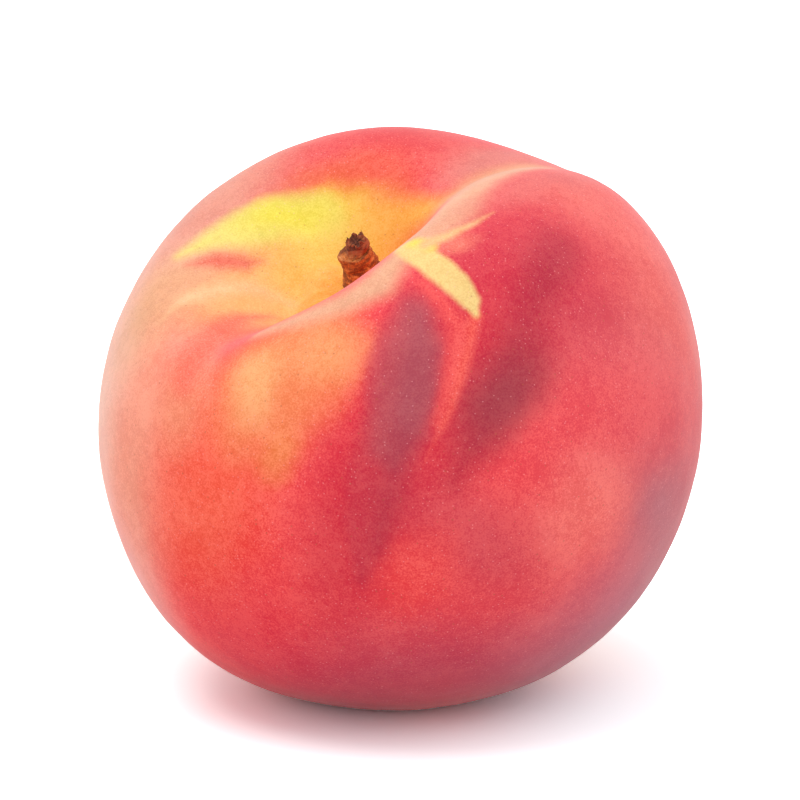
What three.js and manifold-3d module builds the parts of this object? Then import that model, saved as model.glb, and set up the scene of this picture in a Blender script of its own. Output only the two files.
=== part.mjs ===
// A ripe peach at rest on its small flat spot, with the woody stub of its stem in the cavity.
// Millimetres, +Z up. z = 0 is the surface under the fruit, and -Y is the front.
//
// The fruit is one closed body. Each direction out of its middle is given a point: a rounded
// body, swollen in places, creased by folds, and sunk along the stem axis into the cavity. The
// body is then spun and leaned as it lies, and pressed flat where it touches the surface.
// Directions use two angles in degrees: polar is measured from the stem axis, and azimuth is
// measured around it, with about 0 along the suture and 90 on the open side of the cavity.
import * as THREE from "three";
import { mergeVertices } from "three/addons/utils/BufferGeometryUtils.js";
import Module from "manifold-3d";

// Body
const bodyRadius = 37.8;
const stemEndShare = 0.93;    // height of the stem half, as a share of the radius
const tipEndShare = 0.97;     // height of the tip half
const faceRows = 17;          // rows that each face of the starting icosahedron is cut into
const gatherAtStem = 0.3;     // how much closer together the points lie at the stem end

// How the fruit lies
const leanAngle = 31.8;       // stem axis away from upright
const leanTowards = 242.3;    // compass angle of that lean, from +X towards +Y
const spinAngle = 38;         // turn of the fruit about its own axis

// Flat spot under the fruit
const spotDepth = 1.4;        // how far the round body is pressed in
const spotEdge = 0.25;        // half the height over which the spot blends into the body

// Stem cavity, sunk along the stem axis
const throatDepth = 9.5;
const throatNear = { width: 12, power: 3.0 };    // steep wall, under the near lobe
const throatFar = { width: 22, power: 1.7 };     // open wall, on the far side
const bowl = { polar: 10, azimuth: 90, width: 28, power: 2.4, depth: 6.5 };

// Gentle rises of the body, outwards, and a hollow where the height is negative
const swells = [
  { polar: 22, azimuth: -88, width: 20, height: 3.0 },     // crest of the near lobe
  { polar: 112, azimuth: 174, width: 26, height: 1.6 },    // cheek low on the left
  { polar: 73, azimuth: -21, width: 21, height: 1.1 },     // shoulder on the right
  { polar: 132, azimuth: -88, width: 26, height: 0.8 },    // cheek low on the right
  { polar: 40, azimuth: 80, width: 22, height: 0.4 },      // far rim of the cavity
  { polar: 60, azimuth: 126, width: 20, height: -0.4 },    // flatter side, far on the left
];

// Folds that run out from the cavity. A fold is full between the polar angles full and fade,
// and down to its tail share by end.
const folds = [
  {   // suture
    azimuth: 1, depth: 5.2, start: 4, full: 14, fade: 25, end: 75,
    tail: 0.1, backWidth: 9.5, aheadWidth: 22.5, power: 2.2,
  },
  {   // deep fold on the left of the cavity
    azimuth: 172, depth: 4.0, start: 6, full: 16, fade: 22, end: 44,
    tail: 0, backWidth: 14, aheadWidth: 8, power: 2.2,
  },
  {   // shallow fold above it
    azimuth: 128, depth: 1.5, start: 8, full: 18, fade: 26, end: 48,
    tail: 0, backWidth: 10, aheadWidth: 9, power: 2.0,
  },
];
const tipClear = 165;         // polar angle past which no fold reaches the tip
const foldFront = 0.14;       // how soon a fold reaches full depth past the axis
const foldBack = -0.02;

// Stem stub
const stemLength = 8.8;       // above the cavity floor
const stemSeat = 1.4;         // below it
const stemBaseRadius = 3.1;
const stemTopRadius = 1.85;   // at the shoulder, under the broken tip
const stemRings = 4;          // scars around the stub
const ringHeight = 0.16;
const stemSteps = 20;         // profile steps from seat to shoulder
const stemSides = 22;
const knobRise = 2.2;         // height of the broken tip above the shoulder
const knob = [                // its outline: radius, and height above the shoulder
  { radius: 1.45, rise: 0.4 },
  { radius: 1.2, rise: 1.5 },
];
const stemShift = 1.4;        // to the right of the stem axis
const socketTop = 4;          // how far above the floor the flesh is cleared beside the stub
const gap = 0.3;              // between the stub and the flesh around it
const sliverSize = 0.005;     // edges shorter than this are closed up after the socket is cut

const skinMaterial = new THREE.MeshStandardMaterial({ color: 0xd8524a, roughness: 0.75 });
const stemMaterial = new THREE.MeshStandardMaterial({ color: 0x7b4a26, roughness: 0.9 });

const radians = THREE.MathUtils.degToRad;
const degrees = THREE.MathUtils.radToDeg;
const smoothstep = THREE.MathUtils.smoothstep;

function direction(polar, azimuth) {
  return new THREE.Vector3().setFromSphericalCoords(1, radians(polar), 0)
    .applyMatrix4(new THREE.Matrix4().makeRotationX(Math.PI / 2))
    .applyAxisAngle(new THREE.Vector3(0, 0, 1), radians(azimuth) + Math.PI / 2);
}

// 1 in the middle of a round patch about the given direction, falling to 0 outside it
function patch(towards, { polar, azimuth, width, power = 2 }) {
  const away = degrees(towards.angleTo(direction(polar, azimuth)));
  return Math.exp(-Math.pow(away / width, power));
}

// Depth of one fold at a polar angle and azimuth
function foldDepth(fold, polar, azimuth) {
  const offset = azimuth - radians(fold.azimuth);
  const across = Math.sin(radians(polar)) * Math.sin(offset);
  const along = Math.sin(radians(polar)) * Math.cos(offset);
  const width = Math.sin(radians(across > 0 ? fold.aheadWidth : fold.backWidth));
  const rise = smoothstep(polar, fold.start, fold.full);
  const fall = 1 - (1 - fold.tail) * smoothstep(polar, fold.fade, fold.end);
  const clear = 1 - smoothstep(polar, tipClear, 180);
  const oneSide = smoothstep(along, foldBack, foldFront);
  return fold.depth * rise * fall * clear * oneSide
    * Math.exp(-Math.pow(Math.abs(across) / width, fold.power));
}

// How far the cavity drops the surface along the stem axis
function cavityDrop(towards, polar, azimuth) {
  const openness = (1 + Math.sin(azimuth)) / 2;
  const width = THREE.MathUtils.lerp(throatNear.width, throatFar.width, openness);
  const power = THREE.MathUtils.lerp(throatNear.power, throatFar.power, openness);
  const throat = throatDepth * Math.exp(-Math.pow(polar / width, power));
  return throat + bowl.depth * patch(towards, bowl);
}

// Point of the skin in the given direction, before the fruit is leaned
function skinPoint(towards) {
  const polar = degrees(towards.angleTo(new THREE.Vector3(0, 0, 1)));
  const azimuth = Math.atan2(towards.y, towards.x);
  const endShare = towards.z > 0 ? stemEndShare : tipEndShare;
  let rise = 0;
  for (const swell of swells) {
    rise += swell.height * patch(towards, swell);
  }
  for (const fold of folds) {
    rise -= foldDepth(fold, polar, azimuth);
  }
  const point = towards.clone().multiplyScalar(bodyRadius);
  point.z *= endShare;
  point.addScaledVector(towards, rise);
  point.z -= cavityDrop(towards, polar, azimuth);
  return point;
}

// Spin about the stem axis, then lean of that axis
function layDown() {
  const spin = new THREE.Matrix4().makeRotationZ(radians(spinAngle));
  const hinge = new THREE.Vector3(-Math.sin(radians(leanTowards)), Math.cos(radians(leanTowards)), 0);
  return new THREE.Matrix4().makeRotationAxis(hinge, radians(leanAngle)).multiply(spin);
}

// Height after pressing: 0 in the spot, unchanged well above it, and a smooth curve between
function pressed(height) {
  if (height < -spotEdge) {
    return 0;
  }
  if (height < spotEdge) {
    return (height + spotEdge) ** 2 / (4 * spotEdge);
  }
  return height;
}

function positionsOnly(geometry) {
  geometry.deleteAttribute("normal");
  geometry.deleteAttribute("uv");
  return mergeVertices(geometry);
}

function fruitGeometry() {
  const geometry = positionsOnly(new THREE.IcosahedronGeometry(1, faceRows));
  const positions = geometry.attributes.position;
  const towards = new THREE.Vector3();
  for (let i = 0; i < positions.count; i += 1) {
    towards.fromBufferAttribute(positions, i).normalize();
    const polar = Math.acos(towards.z) - gatherAtStem * Math.sin(Math.acos(towards.z));
    const azimuth = Math.atan2(towards.y, towards.x);
    const point = skinPoint(direction(degrees(polar), degrees(azimuth))).applyMatrix4(lay);
    positions.setXYZ(i, point.x, point.y, point.z);
  }
  geometry.computeBoundingBox();
  const floor = geometry.boundingBox.min.z + spotDepth;
  for (let i = 0; i < positions.count; i += 1) {
    positions.setZ(i, pressed(positions.getZ(i) - floor));
  }
  return { geometry, floor };
}

// Radius of the stub at a share of the way from its seat to its shoulder
function stemRadius(share) {
  const taper = THREE.MathUtils.lerp(stemBaseRadius, stemTopRadius, share);
  return taper - ringHeight * (1 - Math.cos(2 * Math.PI * stemRings * share)) / 2;
}

function stemGeometry() {
  const profile = [new THREE.Vector2(0, -stemSeat)];
  const shoulder = stemLength - knobRise;
  for (let step = 0; step <= stemSteps; step += 1) {
    const share = step / stemSteps;
    profile.push(new THREE.Vector2(stemRadius(share), THREE.MathUtils.lerp(-stemSeat, shoulder, share)));
  }
  for (const { radius, rise } of knob) {
    profile.push(new THREE.Vector2(radius, shoulder + rise));
  }
  profile.push(new THREE.Vector2(0, stemLength));
  return new THREE.LatheGeometry(profile, stemSides).rotateX(Math.PI / 2);
}

function solid(geometry) {
  const vertProperties = Float32Array.from(geometry.attributes.position.array);
  const triVerts = Uint32Array.from(geometry.index.array);
  return new wasm.Manifold(new wasm.Mesh({ numProp: 3, vertProperties, triVerts }));
}

function solidGeometry(manifold) {
  const { vertProperties, triVerts } = manifold.getMesh();
  const geometry = new THREE.BufferGeometry();
  geometry.setAttribute("position", new THREE.BufferAttribute(vertProperties, 3));
  geometry.setIndex(new THREE.BufferAttribute(triVerts, 1));
  return geometry;
}

const wasm = await Module();
wasm.setup();

const lay = layDown();
const { geometry: wholeFruit, floor } = fruitGeometry();

// Seat of the stub: on the cavity floor, a little to the right of the stem axis
const seat = skinPoint(new THREE.Vector3(0, 0, 1)).applyMatrix4(lay);
seat.x += stemShift;
seat.z -= floor;
const seatFrame = new THREE.Matrix4().extractRotation(lay).setPosition(seat);

const socketBottom = -stemSeat - gap;
const socketRadius = stemBaseRadius + gap;
const socketHeight = socketTop - socketBottom;
const socket = positionsOnly(
  new THREE.CylinderGeometry(socketRadius, socketRadius, socketHeight, stemSides)
    .rotateX(Math.PI / 2)
    .translate(0, 0, (socketTop + socketBottom) / 2),
).applyMatrix4(seatFrame);
const seated = solid(wholeFruit).subtract(solid(socket)).asOriginal().simplify(sliverSize);
const fruit = solidGeometry(seated);

// The model's origin is under the middle of the fruit, on the surface it rests on
fruit.computeBoundingBox();
const middle = fruit.boundingBox.getCenter(new THREE.Vector3()).setZ(0);

const fruitMesh = new THREE.Mesh(fruit, skinMaterial);
fruitMesh.name = "fruit";

const stemMesh = new THREE.Mesh(stemGeometry(), stemMaterial);
stemMesh.name = "stem";
stemMesh.applyMatrix4(seatFrame);

const peach = new THREE.Group();
peach.add(fruitMesh, stemMesh);
peach.position.copy(middle).negate();

export default peach;
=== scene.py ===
# A ripe peach lying on its flat spot: downy blushed skin and the woody stub of its stem.
import math
import random

import bmesh
import bpy
from mathutils import Matrix, Vector, noise


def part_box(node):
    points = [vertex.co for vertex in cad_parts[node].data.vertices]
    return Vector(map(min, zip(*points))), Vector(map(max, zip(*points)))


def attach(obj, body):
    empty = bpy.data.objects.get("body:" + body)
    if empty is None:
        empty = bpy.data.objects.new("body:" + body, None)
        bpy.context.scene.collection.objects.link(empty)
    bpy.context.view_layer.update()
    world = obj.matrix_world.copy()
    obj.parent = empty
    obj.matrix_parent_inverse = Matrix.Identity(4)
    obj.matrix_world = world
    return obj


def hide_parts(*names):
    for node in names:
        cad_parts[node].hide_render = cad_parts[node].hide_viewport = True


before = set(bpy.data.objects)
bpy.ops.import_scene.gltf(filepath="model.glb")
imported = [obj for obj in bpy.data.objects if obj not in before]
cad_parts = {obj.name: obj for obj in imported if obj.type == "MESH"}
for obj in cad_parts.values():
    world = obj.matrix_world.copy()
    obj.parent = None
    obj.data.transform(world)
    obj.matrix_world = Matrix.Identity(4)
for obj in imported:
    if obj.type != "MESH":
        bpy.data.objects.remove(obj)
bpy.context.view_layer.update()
mm = 0.001
print("frame loaded:", sorted(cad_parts))


def linear(red, green, blue):  # a colour as it looks on screen, made ready for a shader
    shares = [((part / 255 + 0.055) / 1.055) ** 2.4 for part in (red, green, blue)]
    return (*shares, 1)


def smoothStep(value, low, high):
    share = min(max((value - low) / (high - low), 0), 1)
    return share * share * (3 - 2 * share)


def blendOf(low, high, share):
    return low + (high - low) * share


def addMesh(name, bm):
    mesh = bpy.data.meshes.new(name)
    bm.to_mesh(mesh)
    bm.free()
    for face in mesh.polygons:
        face.use_smooth = True
    piece = bpy.data.objects.new(name, mesh)
    bpy.context.scene.collection.objects.link(piece)
    return piece


class Wire:  # a shader socket that Python sums can work on
    def __init__(self, socket):
        self.socket = socket

    def sum(self, operation, *terms):
        node = self.socket.id_data.nodes.new("ShaderNodeMath")
        node.operation = operation
        for slot, term in zip(node.inputs, terms):
            if isinstance(term, Wire):
                self.socket.id_data.links.new(term.socket, slot)
            else:
                slot.default_value = term
        return Wire(node.outputs[0])

    def __add__(self, other):
        return self.sum("ADD", self, other)

    def __radd__(self, other):
        return self.sum("ADD", other, self)

    def __sub__(self, other):
        return self.sum("SUBTRACT", self, other)

    def __rsub__(self, other):
        return self.sum("SUBTRACT", other, self)

    def __mul__(self, other):
        return self.sum("MULTIPLY", self, other)

    def __rmul__(self, other):
        return self.sum("MULTIPLY", other, self)

    def atLeast(self, other):
        return self.sum("MAXIMUM", self, other)

    def atMost(self, other):
        return self.sum("MINIMUM", self, other)

    def root(self):
        return self.sum("SQRT", self)


class Finish:  # a material and the methods that add its nodes
    def __init__(self, name):
        self.material = bpy.data.materials.new(name)
        self.material.use_nodes = True
        self.tree = self.material.node_tree
        self.tree.nodes.clear()

    def node(self, kind, settings=None, output=0, **inputs):
        node = self.tree.nodes.new("ShaderNode" + kind)
        for key, value in (settings or {}).items():
            setattr(node, key, value)
        for key, value in inputs.items():  # keys are socket identifiers without their spaces
            slot = next(s for s in node.inputs if s.identifier.replace(" ", "") == key and s.enabled)
            if isinstance(value, Wire):
                self.tree.links.new(value.socket, slot)
            else:
                slot.default_value = value
        return Wire(node.outputs[output])

    def vector(self, operation, first, second, output=0):
        return self.node("VectorMath", {"operation": operation}, output, Vector=first, Vector_001=second)

    def ease(self, value, start, end, low=0.0, high=1.0):  # smooth step between two values, either way round
        return self.node("MapRange", {"interpolation_type": "SMOOTHSTEP"}, Value=value,
                         FromMin=start, FromMax=end, ToMin=low, ToMax=high)

    def mix(self, factor, first, second):
        return self.node("Mix", {"data_type": "RGBA"}, 2, Factor_Float=factor, A_Color=first, B_Color=second)

    def grain(self, place, kind):  # noise whose lumps are about its size across
        return self.node("TexNoise", None, 0, Vector=place, Scale=1 / kind["size"],
                         Detail=kind["detail"], Roughness=kind["rough"])

    def drift(self, place, kind, reach):  # the same noise as a push sideways over flat skin
        push = self.node("TexNoise", None, 1, Vector=place, Scale=1 / kind["size"],
                         Detail=kind["detail"], Roughness=kind["rough"])
        return self.vector("MULTIPLY", self.vector("SUBTRACT", push, (0.5, 0.5, 0.5)), (reach, reach, 0))

    def finish(self, surface):
        out = self.tree.nodes.new("ShaderNodeOutputMaterial")
        self.tree.links.new(surface.socket, out.inputs["Surface"])
        return self.material


studio = {
    "cameraRise": 15,          # degrees above level
    "cameraAway": 0.5,         # metres
    "lens": 180,
    "sensorWidth": 36,
    "clipStart": 0.01,
    "aimHeight": 0.0369,
    "keyPlace": (-0.3, -0.1, 1.2),
    "keySize": 1.0,
    "keyPower": 8.0,
    "keyColour": (1, 0.985, 0.965),
    "fillPlace": (0.5, -0.5, 1.0),
    "fillSize": 0.9,
    "fillPower": 2.4,
    "fillColour": (1, 1, 1),
    "worldLight": 0.78,
    "floorSize": 3.0,
    "floorColour": (225, 224, 224),
    "floorLift": (212, 240, 244),   # what the camera sees on top of that, so only the shadow stays grey
}


def makeCamera():
    camera = bpy.data.objects.new("camera", bpy.data.cameras.new("camera"))
    bpy.context.scene.collection.objects.link(camera)
    rise = math.radians(studio["cameraRise"])
    away = Vector((0, -math.cos(rise), math.sin(rise))) * studio["cameraAway"]
    camera.location = Vector((0, 0, studio["aimHeight"])) + away
    camera.rotation_euler = (math.pi / 2 - rise, 0, 0)
    camera.data.lens = studio["lens"]
    camera.data.sensor_width = studio["sensorWidth"]
    camera.data.clip_start = studio["clipStart"]
    bpy.context.scene.camera = camera


def makeLamp(name):
    lamp = bpy.data.lights.new(name, "AREA")
    lamp.shape = "DISK"
    lamp.size = studio[name + "Size"]
    lamp.energy = studio[name + "Power"]
    lamp.color = studio[name + "Colour"]
    holder = bpy.data.objects.new(name, lamp)
    holder.location = studio[name + "Place"]
    towards = Vector((0, 0, studio["aimHeight"])) - holder.location
    holder.rotation_euler = towards.to_track_quat("-Z", "Y").to_euler()
    bpy.context.scene.collection.objects.link(holder)


def makeWorld():  # plain white to look at, a soft even light otherwise
    world = bpy.data.worlds.new("softRoom")
    world.use_nodes = True
    bpy.context.scene.world = world
    nodes, links = world.node_tree.nodes, world.node_tree.links
    path = nodes.new("ShaderNodeLightPath").outputs
    seen = Wire(path["Is Camera Ray"]).atLeast(Wire(path["Is Glossy Ray"]))
    seen = seen.atLeast(Wire(path["Is Transmission Ray"]))
    strength = seen * (1 - studio["worldLight"]) + studio["worldLight"]
    links.new(strength.socket, nodes["Background"].inputs["Strength"])
    nodes["Background"].inputs["Color"].default_value = (1, 1, 1, 1)


def makeFloor():
    bm = bmesh.new()
    bmesh.ops.create_grid(bm, x_segments=1, y_segments=1, size=studio["floorSize"] / 2)
    floor = addMesh("floor", bm)
    paint = Finish("paleFloor")
    seen = paint.node("LightPath")  # Is Camera Ray
    matt = paint.node("BsdfDiffuse", Color=linear(*studio["floorColour"]))
    lift = paint.node("BsdfDiffuse", Color=paint.mix(seen, (0, 0, 0, 1), linear(*studio["floorLift"])))
    floor.data.materials.append(paint.finish(paint.node("AddShader", Shader=matt, Shader_001=lift)))


bpy.context.scene.view_settings.view_transform = "Standard"
makeCamera()
makeWorld()
makeLamp("key")
makeLamp("fill")
makeFloor()
print("camera, lights and floor made")


fruit = {
    # millimetres, and degrees: polar from the stem axis, azimuth round it from about the suture
    "bodyRadius": 37.8,
    "stemEndShare": 0.93,
    "tipEndShare": 0.97,
    "cuts": 127,                # along each side of the cube that is rounded into the body
    "gatherAtStem": 0.3,        # how much closer together the points lie at the stem end
    "leanAngle": 31.8,
    "leanTowards": 242.3,
    "spinAngle": 38,
    "spotDepth": 1.4,
    "spotEdge": 0.25,
    "throatDepth": 9.5,
    "throatNear": (12, 3.0),    # width and power of the steep wall
    "throatFar": (22, 1.7),     # and of the open wall
    "bowl": {"polar": 10, "azimuth": 90, "width": 28, "power": 2.4, "depth": 6.5},
    "swells": [                 # polar, azimuth, width, height
        (22, -88, 20, 3.0),
        (112, 174, 26, 1.6),
        (73, -21, 21, 1.1),
        (132, -88, 26, 0.8),
        (40, 80, 22, 0.4),
        (60, 126, 20, -0.4),
    ],
    "folds": [
        {"azimuth": 1, "depth": 5.2, "start": 4, "full": 14, "fade": 25, "end": 75,
         "tail": 0.1, "backWidth": 9.5, "aheadWidth": 22.5, "power": 2.2},
        {"azimuth": 172, "depth": 4.0, "start": 6, "full": 16, "fade": 22, "end": 44,
         "tail": 0, "backWidth": 14, "aheadWidth": 8, "power": 2.2},
        {"azimuth": 128, "depth": 1.5, "start": 8, "full": 18, "fade": 26, "end": 48,
         "tail": 0, "backWidth": 10, "aheadWidth": 9, "power": 2.0},
    ],
    "tipClear": 165,            # folds end before the tip
    "foldFront": 0.14,
    "foldBack": -0.02,
    "lumps": ((11, 0.16), (4.5, 0.05), (2, 0.02)),   # size and height of the skin's unevenness
    "puckers": {"count": 17, "polar": 7, "width": 4, "depth": 0.12},   # small creases round the stem
}


def direction(polar, azimuth):
    polar, azimuth = math.radians(polar), math.radians(azimuth)
    spoke = Vector((math.cos(azimuth), math.sin(azimuth), 0))
    return spoke * math.sin(polar) + Vector((0, 0, math.cos(polar)))


swellParts = [(direction(polar, azimuth), *rest) for polar, azimuth, *rest in fruit["swells"]]
bowlMiddle = direction(fruit["bowl"]["polar"], fruit["bowl"]["azimuth"])


def awayFrom(towards, middle):
    return math.degrees(math.acos(min(max(towards.dot(middle), -1), 1)))


def foldDepth(fold, polar, azimuth):
    offset = azimuth - math.radians(fold["azimuth"])
    across = math.sin(math.radians(polar)) * math.sin(offset)
    along = math.sin(math.radians(polar)) * math.cos(offset)
    width = math.sin(math.radians(fold["aheadWidth"] if across > 0 else fold["backWidth"]))
    rise = smoothStep(polar, fold["start"], fold["full"])
    fall = 1 - (1 - fold["tail"]) * smoothStep(polar, fold["fade"], fold["end"])
    clear = 1 - smoothStep(polar, fruit["tipClear"], 180)
    oneSide = smoothStep(along, fruit["foldBack"], fruit["foldFront"])
    return fold["depth"] * rise * fall * clear * oneSide * math.exp(-(abs(across) / width) ** fold["power"])


def cavityDrop(towards, polar, azimuth):
    openness = (1 + math.sin(azimuth)) / 2
    width = blendOf(fruit["throatNear"][0], fruit["throatFar"][0], openness)
    power = blendOf(fruit["throatNear"][1], fruit["throatFar"][1], openness)
    bowl = fruit["bowl"]
    sunk = bowl["depth"] * math.exp(-(awayFrom(towards, bowlMiddle) / bowl["width"]) ** bowl["power"])
    return fruit["throatDepth"] * math.exp(-(polar / width) ** power) + sunk


def pucker(polar, azimuth):
    crease = fruit["puckers"]
    near = math.exp(-((polar - crease["polar"]) / crease["width"]) ** 2)
    return crease["depth"] * near * math.cos(crease["count"] * azimuth)


def skinPoint(towards):  # point of the skin in millimetres, before the fruit is leaned
    polar = math.degrees(math.acos(min(max(towards.z, -1), 1)))
    azimuth = math.atan2(towards.y, towards.x)
    rise = 0
    for middle, width, height in swellParts:
        rise += height * math.exp(-(awayFrom(towards, middle) / width) ** 2)
    rise -= sum(foldDepth(fold, polar, azimuth) for fold in fruit["folds"])
    rise += pucker(polar, azimuth)
    for size, height in fruit["lumps"]:
        rise += height * noise.noise(towards * (fruit["bodyRadius"] / size))
    point = towards * fruit["bodyRadius"]
    point.z *= fruit["stemEndShare"] if towards.z > 0 else fruit["tipEndShare"]
    point += towards * rise
    point.z -= cavityDrop(towards, polar, azimuth)
    return point


def layDown():
    towards = math.radians(fruit["leanTowards"])
    hinge = Vector((-math.sin(towards), math.cos(towards), 0))
    lean = Matrix.Rotation(math.radians(fruit["leanAngle"]), 3, hinge)
    return lean @ Matrix.Rotation(math.radians(fruit["spinAngle"]), 3, "Z")


def pressed(height):  # the underside, flattened by what the fruit lies on
    edge = fruit["spotEdge"]
    if height < -edge:
        return 0
    return (height + edge) ** 2 / (4 * edge) if height < edge else height


def makeSkin():
    bm = bmesh.new()
    bmesh.ops.create_cube(bm, size=2)
    bmesh.ops.subdivide_edges(bm, edges=bm.edges[:], cuts=fruit["cuts"], use_grid_fill=True)
    lay = layDown()
    # the skin spread flat round the stem, in degrees away from it, with those degrees again as z
    spread = []
    for vert in bm.verts:
        even = Vector([math.tan(part * math.pi / 4) for part in vert.co])  # squares of like size all over
        towards = even.normalized()
        polar = math.acos(min(max(towards.z, -1), 1))
        polar -= fruit["gatherAtStem"] * math.sin(polar)
        azimuth = math.atan2(towards.y, towards.x)
        spread.append(Vector((math.cos(azimuth), math.sin(azimuth), 1)) * math.degrees(polar))
        vert.co = lay @ skinPoint(direction(math.degrees(polar), math.degrees(azimuth)))
    floor = min(vert.co.z for vert in bm.verts) + fruit["spotDepth"]
    for vert in bm.verts:
        vert.co.z = pressed(vert.co.z - floor)
    low = Vector([min(vert.co[i] for vert in bm.verts) for i in range(3)])
    high = Vector([max(vert.co[i] for vert in bm.verts) for i in range(3)])
    cadLow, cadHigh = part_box("fruit")
    shift = (cadLow + cadHigh) / 2 / mm - (low + high) / 2
    shift.z = 0
    bmesh.ops.translate(bm, verts=bm.verts, vec=shift)
    bmesh.ops.scale(bm, verts=bm.verts, vec=(mm, mm, mm))
    bmesh.ops.recalc_face_normals(bm, faces=bm.faces)
    skin = addMesh("skin", bm)
    kept = skin.data.attributes.new("flatSkin", "FLOAT_VECTOR", "POINT")
    kept.data.foreach_set("vector", [part for place in spread for part in place])
    return skin, shift - Vector((0, 0, floor))


skin, bodyMiddle = makeSkin()  # the middle of the body is the origin that skinPoint counts from
print("skin made:", len(skin.data.polygons), "faces")


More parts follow.
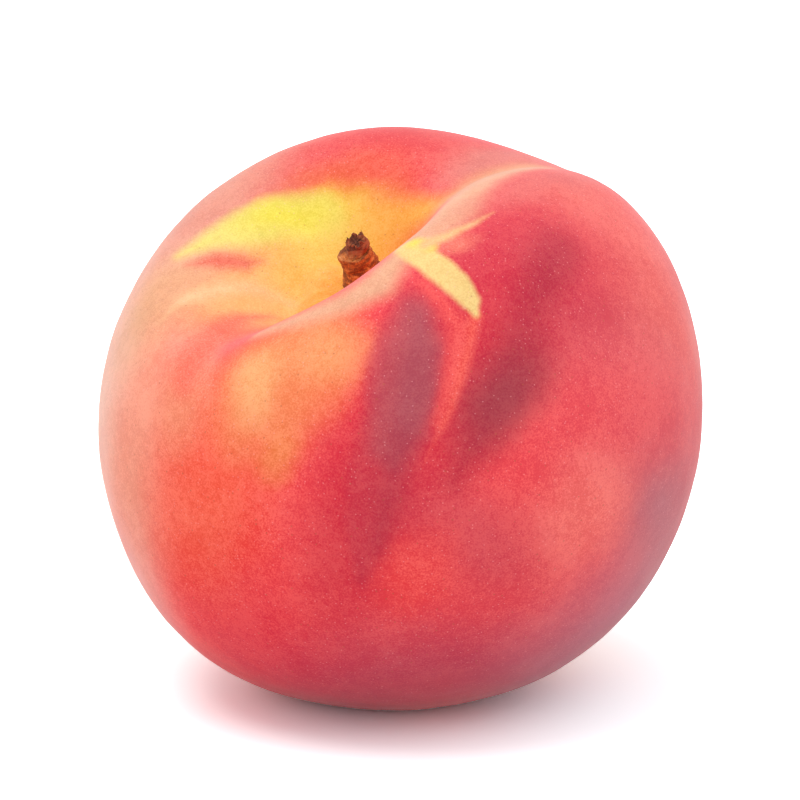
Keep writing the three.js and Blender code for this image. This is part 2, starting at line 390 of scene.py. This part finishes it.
skinFinish = {
    # colours as seen on screen; places in degrees over the skin spread flat round the stem
    # a spot is x, y, length, width and turn, and a line is points of x, y and half width
    "ground": (242, 80, 84),
    "layers": [
        # far side
        {"spot": (6, 84, 66, 24, 4), "edge": 0.6, "colour": (238, 112, 100)},
        {"spot": (56, 92, 40, 30, -40), "edge": 0.6, "colour": (204, 54, 72)},
        {"spot": (-52, 98, 42, 24, 32), "edge": 0.6, "colour": (242, 156, 100)},
        {"spot": (-30, 112, 16, 9, 10), "edge": 0.8, "colour": (236, 190, 104), "cover": 0.8},
        {"spot": (-4, 128, 46, 16, -4), "edge": 0.7, "colour": (214, 62, 74), "cover": 0.9},
        {"spot": (20, 70, 15, 8, 60), "edge": 0.8, "colour": (188, 52, 70), "cover": 0.7},
        {"spot": (116, 26, 34, 22, 70), "edge": 0.7, "colour": (232, 116, 96)},
        {"spot": (98, -6, 26, 12, 80), "edge": 0.8, "colour": (206, 60, 74), "cover": 0.8},
        {"line": ((66, 2, 1), (90, 3, 2.2), (118, 3, 1.6), (142, 2, 0)),
         "edge": 4, "colour": (196, 52, 66), "cover": 0.6},
        {"line": ((-8, 62, 0), (-16, 84, 2.4), (-20, 108, 0)),
         "edge": 7, "colour": (216, 72, 74), "cover": 0.45},
        {"line": ((34, 66, 0), (42, 86, 1.4), (56, 110, 0)),
         "edge": 7, "colour": (236, 100, 88), "cover": 0.4},
        {"spot": (-72, 72, 40, 20, -24), "edge": 0.9, "colour": (240, 138, 100), "cover": 0.85},
        {"line": ((-30, 62, 1), (-50, 74, 4), (-70, 92, 2)),
         "edge": 9, "colour": (230, 94, 86), "cover": 0.6},
        # broad blush
        {"spot": (-82, -12, 32, 24, 0), "edge": 0.7, "colour": (255, 70, 66)},
        {"spot": (-102, -38, 28, 32, 0), "edge": 0.7, "colour": (226, 52, 70)},
        # this spot and the next: the pale band near the left edge, partly the skin's own pale colour, partly
        # painted sheen of the down
        {"spot": (-90, 30, 28, 24, 0), "edge": 0.7, "colour": (252, 164, 160)},
        {"spot": (-54, 19, 34, 19, 14), "edge": 0.6, "colour": (242, 148, 122)},
        {"spot": (-59, -12, 20, 14, -10), "edge": 0.8, "colour": (250, 100, 74), "cover": 0.85},
        {"spot": (-46, 0, 9, 7, 0), "edge": 0.8, "colour": (242, 146, 112), "cover": 0.8},
        # inner part of that pale band: partly the skin's own pale colour, partly painted sheen of the down
        {"spot": (-34, 40, 40, 17, 0), "edge": 0.6, "colour": (238, 180, 158)},
        {"spot": (2, 42, 26, 12, 0), "edge": 0.6, "colour": (216, 140, 122)},
        {"spot": (34, 24, 24, 17, -28), "edge": 0.6, "colour": (218, 78, 80)},
        {"spot": (48, 2, 18, 9, 0), "edge": 0.6, "colour": (210, 116, 108)},
        {"spot": (50, -25, 20, 12, 0), "edge": 0.8, "colour": (226, 120, 104)},
        {"spot": (-27, 26, 16, 11, -10), "edge": 0.7, "colour": (214, 152, 110), "cover": 0.85},
        {"spot": (66, -40, 20, 40, 0), "edge": 0.7, "colour": (232, 92, 92)},
        {"spot": (42, -44, 18, 24, 0), "edge": 0.8, "colour": (236, 106, 100), "cover": 0.9},
        {"spot": (16, -37, 26, 20, 0), "edge": 0.6, "colour": (206, 58, 74), "cover": 0.95},
        {"spot": (-28, -46, 38, 13, 8), "edge": 0.6, "colour": (214, 52, 68), "cover": 0.95},
        {"spot": (-70, -82, 58, 18, -42), "edge": 0.7, "colour": (196, 66, 88), "cover": 0.9},
        # this spot and the next: greyish dusty pink low down and at the lower right edge, partly the skin's
        # bloom, partly painted sheen of the down
        {"spot": (0, -124, 80, 26, 0), "edge": 0.7, "colour": (194, 106, 122)},
        {"spot": (34, -94, 22, 34, 30), "edge": 0.8, "colour": (190, 110, 120)},
        {"spot": (88, -108, 46, 36, 0), "edge": 0.6, "colour": (216, 78, 86)},
        {"spot": (20, -70, 36, 13, -12), "edge": 0.8, "colour": (238, 82, 88), "cover": 0.8},
        {"spot": (-3, -82, 15, 10, 0), "edge": 0.8, "colour": (246, 114, 108)},
        {"spot": (-29, -70, 10, 17, 24), "edge": 0.8, "colour": (214, 74, 86), "cover": 0.8},
        {"spot": (-45, -63, 10, 7, -10), "edge": 0.8, "colour": (246, 78, 76), "cover": 0.8},
        # orange field
        {"line": ((-43, -15, 6), (-35, -17, 10), (-27, -20, 9.5), (-19, -18, 5)),
         "edge": 6, "colour": (244, 122, 82)},
        {"spot": (-31, -17, 14, 10, 10), "edge": 0.8, "colour": (240, 138, 92), "cover": 0.9},
        {"spot": (-34.5, -14, 7, 4.5, 20), "edge": 0.8, "colour": (240, 170, 112), "cover": 0.8},
        {"spot": (-22, -23, 5, 8, 40), "edge": 0.8, "colour": (238, 154, 98), "cover": 0.7},
        {"spot": (-44, -25.5, 5, 3.5, 0), "edge": 0.8, "colour": (240, 136, 80), "cover": 0.7},
        # purple shade beside it
        {"line": ((-6, -28.5, 3.2), (-9.5, -31.5, 5.4), (-14.5, -36, 6.8), (-22, -41, 7),
                  (-33, -44.5, 6.2), (-44, -49, 5), (-54, -53, 1.5)),
         "edge": 2.2, "colour": (208, 60, 74)},
        {"line": ((-7, -29, 2), (-13, -34, 5), (-20, -38.5, 5.2), (-29, -42.5, 3)),
         "edge": 2.6, "colour": (192, 78, 88)},
        {"line": ((-7, -31, 1.6), (-11.5, -36, 3.6), (-16.5, -40, 4), (-23, -43.5, 3.2), (-30, -46, 1)),
         "edge": 3, "colour": (176, 78, 90)},
        {"line": ((-26, -45, 2.6), (-36, -49, 3), (-46, -53, 1)),
         "edge": 4, "colour": (180, 54, 72), "cover": 0.55},
        # dark patches on the near lobe
        {"line": ((28, -35, 3.5), (16, -41, 3.5), (5, -46, 4), (-5, -51, 5), (-14, -55, 3.5),
                  (-24, -57, 1)),
         "edge": 5, "colour": (182, 48, 66), "cover": 0.8},
        {"spot": (-4, -52.5, 11, 5.5, 4), "edge": 0.9, "colour": (160, 60, 72), "cover": 0.85},
        {"spot": (21, -37, 9, 5, 20), "edge": 0.9, "colour": (178, 48, 66), "cover": 0.6},
        # cavity and its walls
        {"spot": (3, 10, 20, 15, 20), "edge": 0.5, "colour": (236, 160, 68)},
        {"line": ((16, 12, 4), (22, 4, 4), (26, -5, 3)), "edge": 4, "colour": (242, 168, 78)},
        {"line": ((26, -5, 4), (38, -5, 4.5), (52, -4, 3)), "edge": 4, "colour": (222, 146, 106)},
        {"spot": (24, 19, 9, 5.5, -36), "edge": 0.9, "colour": (228, 88, 72), "cover": 0.85},
        {"spot": (-13, 15, 15, 8, 20), "edge": 0.8, "colour": (236, 176, 112)},
        {"spot": (-5, 12, 6, 5, 0), "edge": 0.8, "colour": (240, 178, 92), "cover": 0.8},
        # pink line along the crease left of the cavity: painted shade in the fold
        {"line": ((-42, 2, 3), (-36, 4.5, 3.6), (-29, 7.5, 3.6), (-22, 10, 2), (-16, 9.8, 0.2)),
         "edge": 2.6, "colour": (240, 112, 92), "cover": 0.9},
        # pale line along the ridge above that crease: painted highlight on the ridge, partly the skin's own
        # paler colour
        {"line": ((-34, 19.5, -1), (-26, 20.5, 1.6), (-18, 20, 1.8), (-13, 17.5, 1.5), (-10.3, 14.5, 1),
                  (-9, 10.5, 0)),
         "edge": 2.6, "colour": (238, 190, 142), "cover": 0.75},
        # lip of the near lobe
        {"line": ((-26, -5, 1), (-20, -12, 2), (-13, -18, 2.8), (-7, -20.5, 3.6), (0, -19, 2.4),
                  (8, -17.5, 4.5), (15, -16.5, 5), (24, -12, 4.5), (36, -9, 4), (50, -8, 1.5)),
         "edge": 2.4, "colour": (222, 162, 130)},
        {"spot": (38, -17.5, 20, 4, 6), "edge": 0.9, "colour": (216, 100, 98), "cover": 0.9},
        {"spot": (7.5, -24.5, 4.5, 2.2, -15), "edge": 0.8, "colour": (232, 124, 106), "cover": 0.8},
        # pale yellow patch on the far wall, with a reddish streak under it
        {"spot": (12, 15.5, 8, 6, -40), "edge": 0.9, "colour": (240, 184, 86), "cover": 0.9},
        {"line": ((-18, 34, 0.6), (-10, 30.7, 2.8), (-3.5, 27.6, 4.6), (3, 24.4, 5.8), (8, 21, 5.4)),
         "edge": 2.4, "colour": (224, 206, 112)},
        {"spot": (2, 16, 9, 4, -10), "edge": 0.9, "colour": (236, 192, 92), "cover": 0.85},
        {"spot": (5, 24, 9, 4, -32), "edge": 0.9, "colour": (228, 214, 82)},
        {"line": ((-19, 30, 0), (-13.5, 26, 1.9), (-10, 22.6, 1.4), (-6.5, 20.6, -0.4)),
         "edge": 2, "colour": (222, 106, 86)},
        # pale crescent on the near lobe, with the streak that trails from it
        {"line": ((-2.2, -27, 0.6), (-2.2, -33, 1), (-3, -38, 1.8), (-10, -43.5, 1.8), (-18, -47.5, 1)),
         "edge": 1.8, "colour": (234, 80, 80)},
        {"line": ((0.6, -38, 1.2), (-3.5, -41, 0.7), (-8, -43.6, 0.8), (-14, -47, 0.3), (-27, -51, -0.8)),
         "edge": 1.4, "colour": (242, 98, 86), "cover": 0.85},
        {"line": ((1.8, -17.5, 1.8), (1.4, -21.5, 2.2), (1.7, -26.5, 2.6), (2.2, -31.5, 2.5),
                  (2, -35, 1.9), (1.2, -37.6, 0.7)),
         "edge": 0.8, "colour": (232, 196, 126)},
        {"line": ((3.4, -18.5, 1.2), (4, -22, 1)), "edge": 1.2, "colour": (228, 208, 92)},
        {"line": ((4, -20.8, 1.3), (8, -22.2, 0.9), (14, -22.6, 0.4), (20, -22.2, -0.3)),
         "edge": 1.1, "colour": (234, 182, 128)},
    ],
    "tip": {"from": 144, "to": 172, "colour": (238, 160, 104)},   # degrees from the stem
    # uneven borders, and borders broken into fine dots: size in millimetres, reach in degrees
    "wander": {"size": 7, "detail": 4, "rough": 0.6, "reach": 6, "lineReach": 1.2},
    "stipple": {"size": 0.6, "detail": 2, "rough": 0.6, "reach": 0.9, "lineReach": 0.35},
    # three grains that make the skin lighter and darker
    "clouds": {"size": 8, "detail": 4, "rough": 0.55, "share": 0.3},
    "mottle": {"size": 1.1, "detail": 3, "rough": 0.6, "share": 0.25},
    "felt": {"size": 0.22, "detail": 2, "rough": 0.6, "share": 0.45},
    "shadeRange": (0.40, 0.60),   # of their sum
    "darker": {"Hue": 0.498, "Saturation": 1.035, "Value": 0.92},
    "lighter": {"Hue": 0.502, "Saturation": 0.97, "Value": 1.06},
    # pale specks of the down: its pale hairs, partly painted glints of light on them
    "paleDots": {"apart": 0.6, "size": 0.11, "kept": 0.7, "colour": (255, 180, 184), "cover": 0.3},
    "brownDots": {"apart": 1.0, "size": 0.15, "kept": 0.4, "colour": (180, 92, 64), "cover": 0.45},
    "keptEdge": 0.01,           # between cells with a dot and cells without
    "roughness": (0.6, 0.72),
    "roughnessRange": (0.3, 0.7),   # of the mottle that gives those
    "bumpStrength": 0.25,
    "bumpHeight": 0.1,
    "bumpMottle": 0.4,
    "bumpFelt": 0.6,
    "sheen": 0.35,
    "sheenRoughness": 0.35,
    "sheenTint": (1, 0.82, 0.82, 1),
    "specular": 0.2,
    "glowUnder": 0.2,           # light carried under the skin
    "glowReach": (1.0, 0.35, 0.2),
    "glowScale": 1.5,
}


def spotMask(paint, flat, shape, edge):
    x, y, along, across, turn = shape
    swing = math.radians(turn)
    away = paint.vector("SUBTRACT", flat, (x, y, 0))
    ahead = paint.vector("DOT_PRODUCT", away, (math.cos(swing) / along, math.sin(swing) / along, 0), 1)
    aside = paint.vector("DOT_PRODUCT", away, (-math.sin(swing) / across, math.cos(swing) / across, 0), 1)
    return paint.ease((ahead * ahead + aside * aside).root(), 1 + edge, 1 - edge)


def lineMask(paint, flat, points, edge):
    mask = None
    for (x, y, width), (nextX, nextY, nextWidth) in zip(points, points[1:]):
        step = Vector((nextX - x, nextY - y, 0))
        away = paint.vector("SUBTRACT", flat, (x, y, 0))
        gone = paint.vector("DOT_PRODUCT", away, step / step.length_squared, 1).atLeast(0).atMost(1)
        nearest = paint.node("VectorMath", {"operation": "SCALE"}, Vector=step, Scale=gone)
        beside = paint.vector("DISTANCE", away, nearest, 1) - gone * (nextWidth - width)
        stroke = paint.ease(beside, width + edge, width - edge)
        mask = stroke if mask is None else mask.atLeast(stroke)
    return mask


def dotMask(paint, place, dots, keptEdge):  # dots scattered over the skin, only some of their cells filled
    cells = {"Vector": place, "Scale": 1 / dots["apart"], "Randomness": 1.0}
    away = paint.node("TexVoronoi", None, 0, **cells)
    pick = paint.node("SeparateColor", None, 0, Color=paint.node("TexVoronoi", None, 1, **cells))
    size = dots["size"] / dots["apart"]
    filled = paint.ease(pick, dots["kept"] + keptEdge, dots["kept"])
    return paint.ease(away, size, size / 2) * filled * dots["cover"]


def makeSkinFinish():
    look = skinFinish
    paint = Finish("downySkin")
    place = paint.node("TexCoord", None, 3)
    small = paint.node("VectorMath", {"operation": "SCALE"}, Vector=place, Scale=1 / mm)
    spread = paint.node("Attribute", {"attribute_name": "flatSkin"}, 1)
    flat = paint.vector("MULTIPLY", spread, (1, 1, 0))

    wander, stipple = look["wander"], look["stipple"]
    borders = {}
    for key in ("reach", "lineReach"):
        pushed = paint.vector("ADD", flat, paint.drift(small, wander, wander[key]))
        borders[key] = paint.vector("ADD", pushed, paint.drift(small, stipple, stipple[key]))

    colour = linear(*look["ground"])
    for layer in look["layers"]:
        if "spot" in layer:
            mask = spotMask(paint, borders["reach"], layer["spot"], layer["edge"])
        else:
            mask = lineMask(paint, borders["lineReach"], layer["line"], layer["edge"])
        colour = paint.mix(mask * layer.get("cover", 1), colour, linear(*layer["colour"]))

    tip = look["tip"]
    nearTip = paint.ease(paint.node("SeparateXYZ", None, 2, Vector=spread), tip["from"], tip["to"])
    colour = paint.mix(nearTip, colour, linear(*tip["colour"]))

    clouds = paint.grain(small, look["clouds"])
    mottle = paint.grain(small, look["mottle"])
    felt = paint.grain(small, look["felt"])
    mixed = clouds * look["clouds"]["share"] + mottle * look["mottle"]["share"]
    mixed += felt * look["felt"]["share"]
    shade = paint.ease(mixed, *look["shadeRange"])
    darker = paint.node("HueSaturation", None, Color=colour, **look["darker"])
    lighter = paint.node("HueSaturation", None, Color=colour, **look["lighter"])
    colour = paint.mix(shade, darker, lighter)
    # pale specks of the down with painted glints, then brown pores
    for dots in ("paleDots", "brownDots"):
        mask = dotMask(paint, small, look[dots], look["keptEdge"])
        colour = paint.mix(mask, colour, linear(*look[dots]["colour"]))

    bump = paint.node("Bump", None, 0, Strength=look["bumpStrength"], Distance=look["bumpHeight"] * mm,
                      Height=mottle * look["bumpMottle"] + felt * look["bumpFelt"])
    surface = paint.node("BsdfPrincipled", None, 0, BaseColor=colour, Normal=bump,
                         Roughness=paint.ease(mottle, *look["roughnessRange"], *look["roughness"]),
                         SpecularIORLevel=look["specular"], SheenWeight=look["sheen"],
                         SheenRoughness=look["sheenRoughness"], SheenTint=look["sheenTint"],
                         SubsurfaceWeight=look["glowUnder"], SubsurfaceRadius=look["glowReach"],
                         SubsurfaceScale=look["glowScale"] * mm)
    return paint.finish(surface)


skin.data.materials.append(makeSkinFinish())
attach(skin, "root")
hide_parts("fruit")
print("skin painted")


stem = {
    # millimetres; heights are counted from the cavity floor up the stem
    "seat": 1.4,                # how deep it sits below the floor
    "shift": 1.4,               # to the right of the fruit's axis
    "sides": 72,
    "step": 0.16,
    "baseRadius": 2.95,
    "rimRadius": 1.85,
    "rimHeight": 6.6,
    "rings": ((0.9, 0.2), (1.9, 0.24), (2.7, 0.28), (3.4, 0.22), (5.0, 0.12)),   # height and depth
    "ringWidth": 0.24,
    "ringLip": {"share": 0.6, "away": 1.7},   # raised edge above a ring, in ring depths and widths
    "ringSlant": 1.3,           # how much higher a ring is on one side
    "slantTowards": 318,
    "spur": {"azimuth": 146, "height": 6.2, "width": 0.9, "turn": 0.6, "reach": 0.45},
    "bark": ((2.4, 0.2), (0.8, 0.13), (0.3, 0.06)),   # size and height of its unevenness
    "barkStretch": 0.7,         # bark lumps run a little along the stem
    "rimRagged": 0.5,
    "rimTears": 1.2,            # how close together its tears are
    "rimTornFrom": 0.85,        # share of the rim's height
    # broken top: share of the rim's radius, height above the rim, and how ragged it is there
    "brokenTop": ((0.92, 0.1, 0.2), (0.8, 0.0, 0.2), (0.76, 0.35, 0.3), (0.78, 0.8, 0.35), (0.66, 1.3, 0.4),
                  (0.52, 1.7, 0.75), (0.36, 1.45, 0.5), (0.15, 1.25, 0.3)),
    "topSteps": 5,              # rings between two of those
    "topLean": (0.55, -0.18),   # how far the broken top stands off the axis
    "topLeanBy": 0.6,           # height above the rim where it stands there
    # unevenness of the broken top, as waves round it and up it
    "topWaves": {"round": 1.8, "up": 1.5, "reach": 0.5, "coarse": 2.6, "fine": 6, "fineShare": 0.6},
    "crown": {"above": 1.0, "facingUp": 0.1},   # faces of the top that splinters grow from
    "splinters": 16,
    "splinterLength": (0.2, 0.5),
    "splinterWidth": 0.6,
    "splinterLean": 0.3,
    "seed": 5,
}


def stemRadius(height, azimuth):
    radius = blendOf(stem["baseRadius"], stem["rimRadius"], max(height, 0) / stem["rimHeight"])
    lift = stem["ringSlant"] / 2 * math.cos(azimuth - math.radians(stem["slantTowards"]))
    lip = stem["ringLip"]
    for ringHeight, depth in stem["rings"]:
        away = (height - lift - ringHeight) / stem["ringWidth"]
        radius -= depth * (math.exp(-away * away) - lip["share"] * math.exp(-(away - lip["away"]) ** 2))
    spur = stem["spur"]
    turned = math.sin((azimuth - math.radians(spur["azimuth"])) / 2) * 2 / spur["turn"]
    raised = (height - spur["height"]) / spur["width"]
    return radius + spur["reach"] * math.exp(-turned * turned - raised * raised)


def barkPlace(height, azimuth):
    radius = stemRadius(height, azimuth)
    spot = Vector((math.cos(azimuth) * radius, math.sin(azimuth) * radius, height))
    long = Vector((spot.x, spot.y, spot.z * stem["barkStretch"]))
    rough = sum(depth * noise.noise(long / size) for size, depth in stem["bark"])
    spot += Vector((math.cos(azimuth), math.sin(azimuth), 0)) * rough
    torn = noise.noise(spot * stem["rimTears"]) * stem["rimRagged"]
    spot.z += torn * smoothStep(height, stem["rimHeight"] * stem["rimTornFrom"], stem["rimHeight"])
    return spot


def topPlace(radiusShare, rise, ragged, azimuth):
    spoke = Vector((math.cos(azimuth), math.sin(azimuth), 0))
    waves = stem["topWaves"]
    uneven = noise.noise(spoke * waves["round"] + Vector((0, 0, rise * waves["up"])))
    reach = radiusShare * stem["rimRadius"] + waves["reach"] * ragged * uneven
    jag = noise.noise(spoke * waves["coarse"]) + waves["fineShare"] * noise.noise(spoke * waves["fine"])
    height = stem["rimHeight"] + rise + ragged * jag
    lean = Vector((*stem["topLean"], 0)) * smoothStep(rise, 0, stem["topLeanBy"])
    return lean + spoke * reach + Vector((0, 0, height))


def stemPlace(ring, barkSteps, azimuth):  # rings are counted up the bark and then over the broken top
    if ring <= barkSteps:
        return barkPlace(blendOf(-stem["seat"], stem["rimHeight"], ring / barkSteps), azimuth)
    part, step = divmod(ring - barkSteps - 1, stem["topSteps"])
    share = (step + 1) / stem["topSteps"]
    start = stem["brokenTop"][part - 1] if part else (1, 0, 0)  # the whole rim
    shape = [blendOf(low, high, share) for low, high in zip(start, stem["brokenTop"][part])]
    spot = topPlace(*shape, azimuth)
    return spot if part else barkPlace(stem["rimHeight"], azimuth).lerp(spot, share)


def makeStem():
    bm = bmesh.new()
    barkSteps = round((stem["rimHeight"] + stem["seat"]) / stem["step"])
    rings = barkSteps + stem["topSteps"] * len(stem["brokenTop"])
    bmesh.ops.create_cone(bm, cap_ends=True, segments=stem["sides"], radius1=1, radius2=1, depth=rings)
    upright = [edge for edge in bm.edges if edge.verts[0].co.z * edge.verts[1].co.z < 0]
    bmesh.ops.subdivide_edges(bm, edges=upright, cuts=rings - 1)
    for vert in bm.verts:
        ring = round(vert.co.z + rings / 2)
        vert.co = stemPlace(ring, barkSteps, math.atan2(vert.co.y, vert.co.x))
    crown = stem["rimHeight"] + stem["crown"]["above"]
    cap = [face for face in bm.faces if len(face.verts) > 4 and face.calc_center_median().z > crown]
    bmesh.ops.poke(bm, faces=cap)
    bmesh.ops.recalc_face_normals(bm, faces=bm.faces)
    # torn fibres drawn out of the broken top
    bm.faces.index_update()
    draw = random.Random(stem["seed"])
    slack = stem["splinterLean"]
    facing = [face for face in bm.faces if face.normal.z > stem["crown"]["facingUp"]]
    top = [face for face in facing if face.calc_center_median().z > crown]
    for face in bmesh.ops.extrude_discrete_faces(bm, faces=draw.sample(top, stem["splinters"]))["faces"]:
        middle = face.calc_center_median()
        aside = Vector((draw.uniform(-slack, slack), draw.uniform(-slack, slack), 1))
        out = (face.normal * slack + aside).normalized()
        length = draw.uniform(*stem["splinterLength"])
        for vert in face.verts:
            vert.co = middle + (vert.co - middle) * stem["splinterWidth"] + out * length
    seat = layDown() @ skinPoint(Vector((0, 0, 1))) + bodyMiddle + Vector((stem["shift"], 0, 0))
    stand = Matrix.Translation(seat) @ layDown().to_4x4()
    bmesh.ops.transform(bm, matrix=Matrix.Scale(mm, 4) @ stand, verts=bm.verts)
    return addMesh("stub", bm), seat


stub, stubSeat = makeStem()
print("stem made:", len(stub.data.polygons), "faces")


stemFinish = {
    "bark": (208, 118, 50),
    # paler bark, partly painted highlight on the raised lumps of the bark's bumps
    "light": (236, 166, 98),
    # darker bark, partly painted shade in the dips of the bark's bumps; also darkens the foot
    "dark": (130, 66, 30),
    "torn": (158, 82, 54),      # the reddish broken top
    "shade": (92, 44, 34),      # its hollows
    "tornFrom": 6.8,            # millimetres above the cavity floor
    "tornEdge": (0.2, 1.4),     # how far above that it begins and is full
    "tornLumps": 1.5,           # how unevenly
    "tornCover": 0.85,
    "footDark": {"from": 2.6, "to": 0.4, "cover": 0.6},   # millimetres above the floor
    # three grains of the bark: sizes in millimetres, and stretched round the stem or up it
    "lumps": {"size": 1.1, "detail": 4, "rough": 0.6, "share": 0.3},
    "bands": {"size": 1.1, "detail": 4, "rough": 0.65, "share": 0.45, "stretch": (0.5, 0.5, 2.4)},
    "strands": {"size": 0.28, "detail": 3, "rough": 0.6, "share": 0.25, "stretch": (1.6, 1.6, 0.5)},
    "darkRange": (0.56, 0.43),  # of the three grains' sum
    "lightRange": (0.52, 0.64),
    "hollowRange": (0.55, 0.45),
    "specular": 0.3,
    "roughnessRange": (0.35, 0.65),
    "bumpStrength": 0.7,
    "bumpHeight": 0.16,
    "roughness": (0.62, 0.86),
}


def makeStemFinish():
    look = stemFinish
    paint = Finish("barkySkin")
    place = paint.node("TexCoord", None, 3)
    along = paint.node("Mapping", {"vector_type": "TEXTURE"}, Vector=place, Location=stubSeat * mm,
                       Rotation=layDown().to_euler(), Scale=(mm, mm, mm))
    ringed = paint.node("Mapping", None, Vector=along, Scale=look["bands"]["stretch"])   # round the stem
    fibres = paint.node("Mapping", None, Vector=along, Scale=look["strands"]["stretch"])   # up the stem
    height = paint.node("SeparateXYZ", None, 2, Vector=along)
    lumps = paint.grain(along, look["lumps"])
    bands = paint.grain(ringed, look["bands"])
    strands = paint.grain(fibres, look["strands"])
    tone = bands * look["bands"]["share"] + lumps * look["lumps"]["share"]
    tone += strands * look["strands"]["share"]
    # the same grains raise the bumps: darker bark with painted shade in their dips, paler bark with painted
    # highlight on their lumps
    colour = paint.mix(paint.ease(tone, *look["darkRange"]), linear(*look["bark"]), linear(*look["dark"]))
    colour = paint.mix(paint.ease(tone, *look["lightRange"]), colour, linear(*look["light"]))
    start, end = look["tornEdge"]
    torn = height + lumps * look["tornLumps"]
    top = paint.ease(torn, look["tornFrom"] + start, look["tornFrom"] + end)
    hollows = paint.ease(bands, *look["hollowRange"])
    hollow = paint.mix(hollows, linear(*look["torn"]), linear(*look["shade"]))
    colour = paint.mix(top * look["tornCover"], colour, hollow)
    foot = look["footDark"]
    nearFoot = paint.ease(height, foot["from"], foot["to"]) * foot["cover"]
    colour = paint.mix(nearFoot, colour, linear(*look["dark"]))
    bump = paint.node("Bump", None, 0, Height=tone, Strength=look["bumpStrength"],
                      Distance=look["bumpHeight"] * mm)
    surface = paint.node("BsdfPrincipled", None, 0, BaseColor=colour, Normal=bump,
                         SpecularIORLevel=look["specular"],
                         Roughness=paint.ease(strands, *look["roughnessRange"], *look["roughness"]))
    return paint.finish(surface)


stub.data.materials.append(makeStemFinish())
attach(stub, "root")
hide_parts("stem")
print("stem painted")
